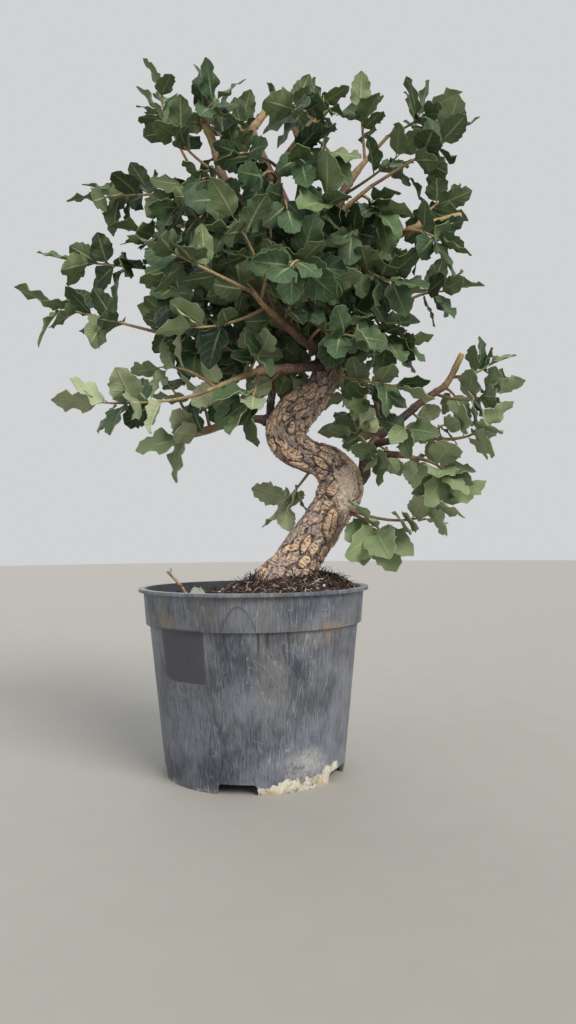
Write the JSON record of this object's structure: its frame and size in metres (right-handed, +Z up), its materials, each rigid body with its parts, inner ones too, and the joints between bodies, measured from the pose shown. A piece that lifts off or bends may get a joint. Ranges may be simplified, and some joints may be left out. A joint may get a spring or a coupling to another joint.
{
  "type": "cork oak bonsai",
  "caption": "Cork oak bonsai with a twisted, corky trunk, pruned branches and toothed evergreen leaves, in a round plastic nursery pot filled with soil.",
  "frame": {"origin": "middle of the bottom of the whole object's box, on the plane that the pot stands on", "axes": "+Z up along the pot's axis, front of the tree towards -Y, trunk leaning towards +X"},
  "size_m": [0.4064, 0.2774, 0.5982],
  "materials": {
    "pot": "weathered blue-grey moulded plastic with scuffs, streaks and lime crust",
    "soil": "dark, fibrous potting mix with root hairs",
    "bark": "corky, furrowed bark on the trunk, smoother brown bark on the branches",
    "leaf": "leathery leaves, dark green and slightly glossy above, pale grey-green below",
    "dead_wood": "dry, bare tan wood",
    "pale_leaf": "dry, pale yellow-green leaf"
  },
  "bodies": {
    "root": {"pot": "pot", "soil": "soil", "trunk_and_branches": "bark", "dead_twig": "dead_wood", "fallen_leaf": "pale_leaf", "shoot_crown_1": "leaf", "shoot_crown_10": "leaf", "shoot_crown_11": "leaf", "shoot_crown_12": "leaf", "shoot_crown_13": "leaf", "shoot_crown_14": "leaf", "shoot_crown_2": "leaf", "shoot_crown_3": "leaf", "shoot_crown_4": "leaf", "shoot_crown_5": "leaf", "shoot_crown_6": "leaf", "shoot_crown_7": "leaf", "shoot_crown_8": "leaf", "shoot_crown_9": "leaf", "shoot_front_left_1": "leaf", "shoot_front_left_2": "leaf", "shoot_front_olive_1": "leaf", "shoot_left_high_1": "leaf", "shoot_left_low_1": "leaf", "shoot_left_low_2": "leaf", "shoot_left_mid_1": "leaf", "shoot_left_stem_1": "leaf", "shoot_left_stub_1": "leaf", "shoot_left_up_1": "leaf", "shoot_left_up_2": "leaf", "shoot_left_up_3": "leaf", "shoot_right_low_1": "leaf", "shoot_right_low_2": "leaf", "shoot_right_spray_1": "leaf", "shoot_right_stub_1": "leaf", "shoot_right_stub_2": "leaf", "shoot_right_stub_3": "leaf", "shoot_right_up_1": "leaf", "shoot_spray_low_1": "leaf", "shoot_spray_mid_1": "leaf", "shoot_spray_stub_1": "leaf", "shoot_spray_stub_2": "leaf", "shoot_spray_up_1": "leaf", "shoot_spray_up_2": "leaf", "shoot_top_stub_1": "leaf", "shoot_trunk_1": "leaf", "shoot_trunk_2": "leaf", "shoot_trunk_3": "leaf", "shoot_trunk_4": "leaf", "shoot_trunk_5": "leaf", "shoot_trunk_6": "leaf", "shoot_trunk_7": "leaf", "shoot_up_centre_1": "leaf", "shoot_up_centre_2": "leaf", "shoot_up_centre_3": "leaf", "shoot_up_left_1": "leaf", "shoot_up_left_2": "leaf", "shoot_up_right_1": "leaf", "shoot_up_right_2": "leaf", "shoot_up_right_3": "leaf"}
  },
  "joints": []
}
